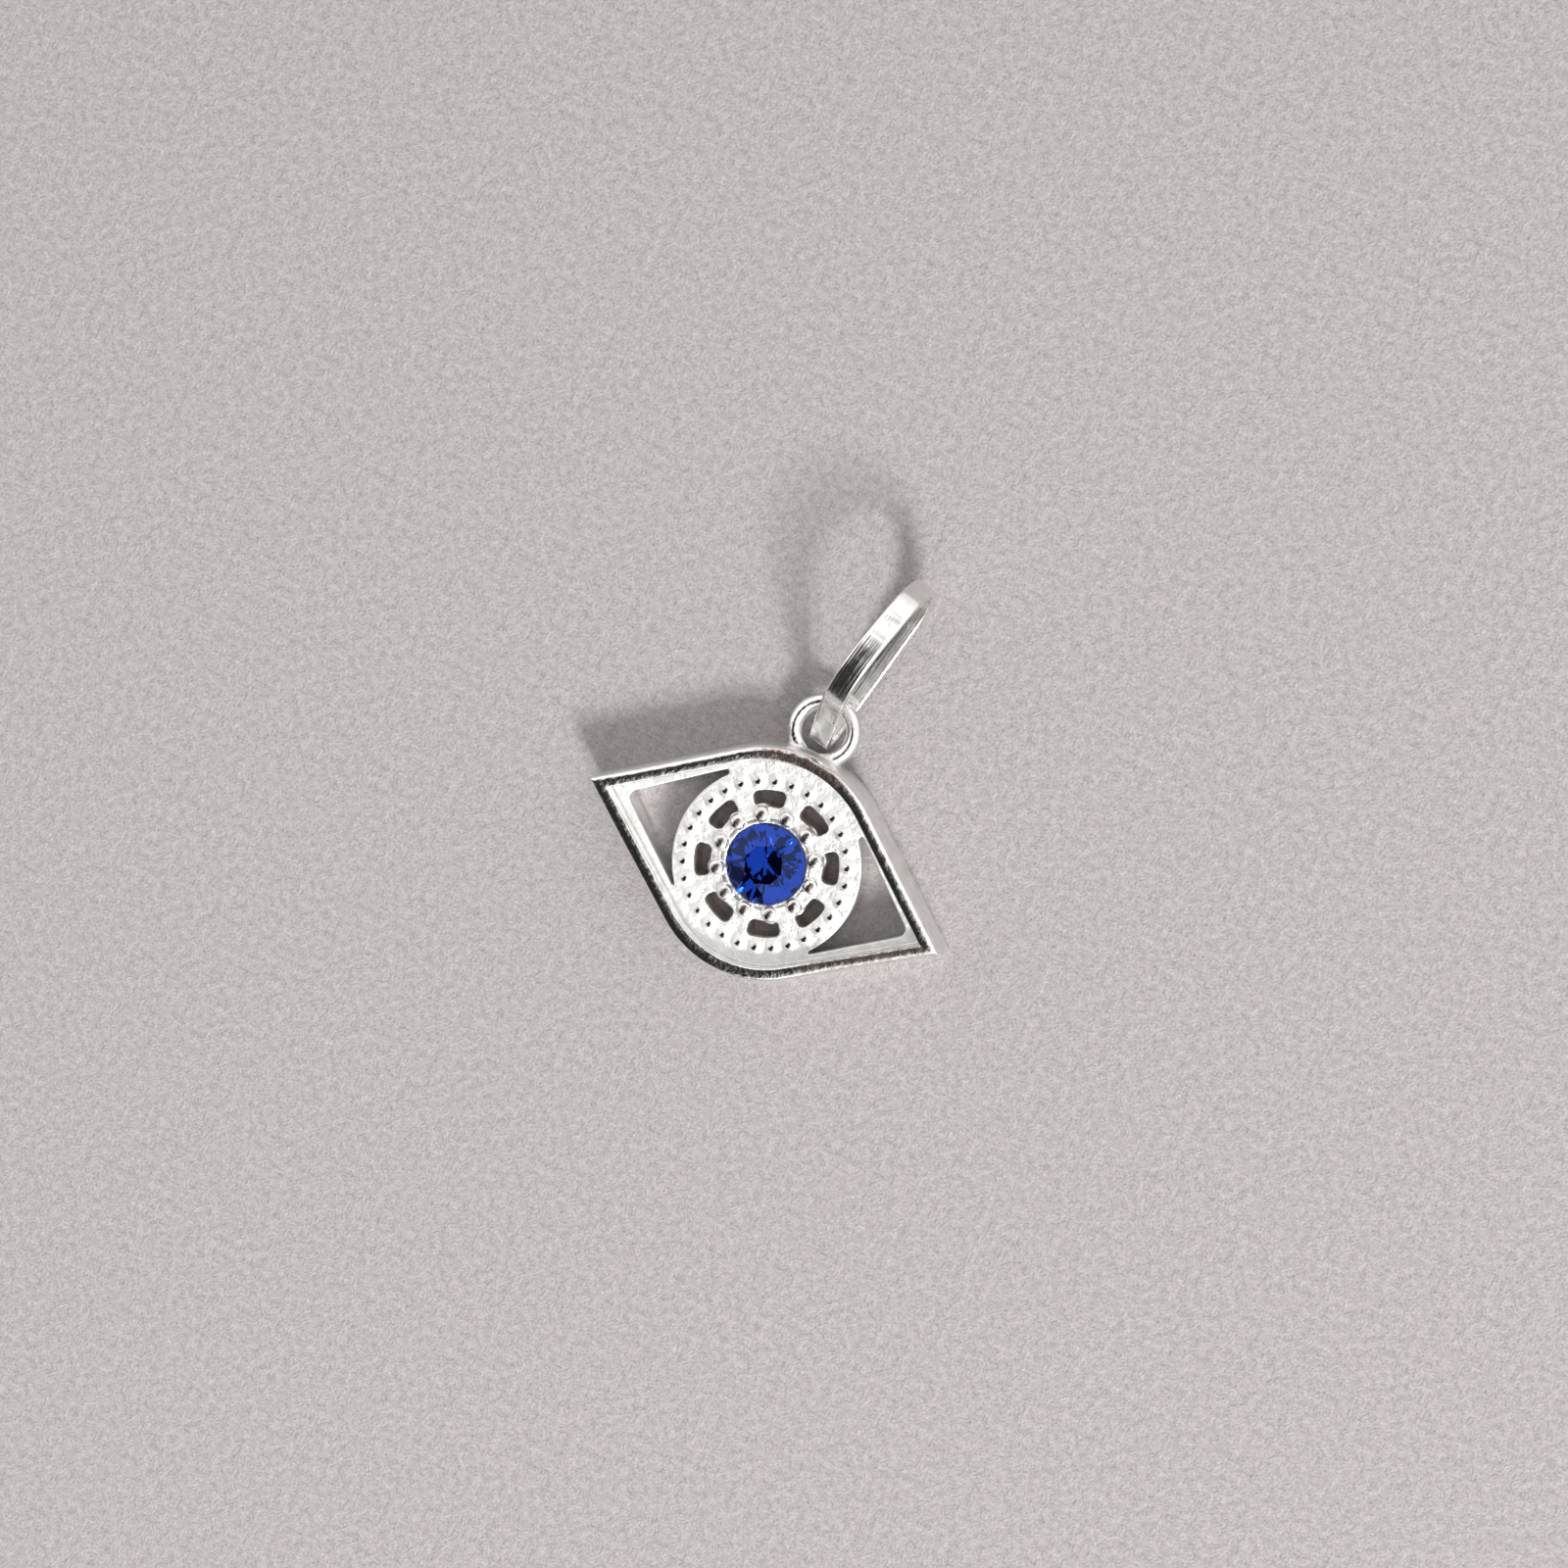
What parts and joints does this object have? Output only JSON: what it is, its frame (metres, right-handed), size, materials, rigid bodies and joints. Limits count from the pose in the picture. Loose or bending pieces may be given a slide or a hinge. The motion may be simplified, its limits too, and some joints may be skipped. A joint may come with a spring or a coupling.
{
  "type": "eye pendant",
  "caption": "Small silver eye pendant with a pierced and beaded iris, a round blue stone and a loose strip bail",
  "frame": {"origin": "middle of the eye, on the flat back of the casting, under the middle of the stone", "axes": "+X along the eye from corner to corner, +Y towards the hanging loop and the bail, +Z out of the front"},
  "size_m": [0.0148, 0.0165, 0.0052],
  "materials": {
    "silver": "polished silver, satin on the iris and the ledge",
    "sapphire": "polished, faceted, deep blue and transparent"
  },
  "bodies": {
    "root": {"eye_body": "silver", "stone": "sapphire", "bail": "silver"}
  },
  "joints": []
}
